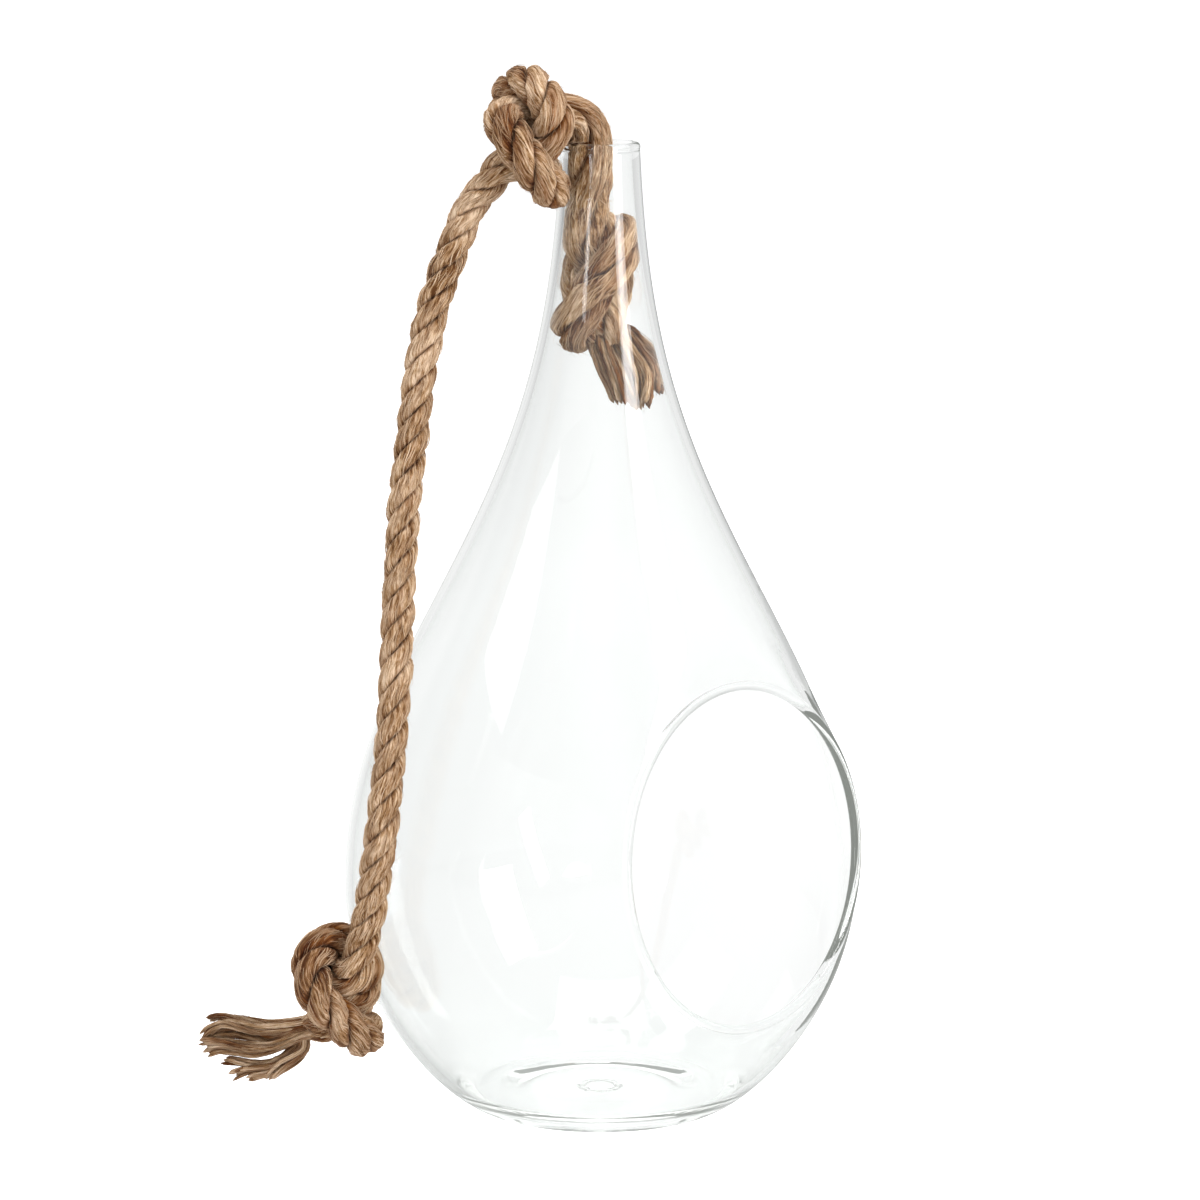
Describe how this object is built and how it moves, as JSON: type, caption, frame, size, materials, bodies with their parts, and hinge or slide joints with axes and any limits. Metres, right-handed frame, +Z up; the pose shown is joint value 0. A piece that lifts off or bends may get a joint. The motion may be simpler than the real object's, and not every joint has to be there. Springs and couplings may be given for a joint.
{
  "type": "teardrop vase",
  "caption": "Clear blown glass drop with a narrow neck and a round side opening, hung by a knotted jute rope.",
  "frame": {"origin": "centre of the foot on the table", "axes": "+Z up along the vase's own axis, -Y out through the round side opening, the rope hangs on the -X side"},
  "size_m": [0.1906, 0.1468, 0.323],
  "materials": {
    "glass": "clear blown soda-lime glass, fire-polished",
    "rope": "three-strand laid jute rope, natural brown, hairy"
  },
  "bodies": {
    "glass": {"glass_vessel": "glass"},
    "rope": {"rope_inner_tail": "rope", "rope_stopper_knot": "rope", "rope_neck_run": "rope", "rope_top_knot": "rope", "rope_hanging_run": "rope", "rope_end_knot": "rope", "rope_end_tail": "rope"}
  },
  "joints": [
    {"name": "rope_swivel", "type": "hinge", "parent": "glass", "child": "rope", "pos_m": [0, 0, 0.2573], "axis": [0, 0, 1], "continuous": true}
  ]
}
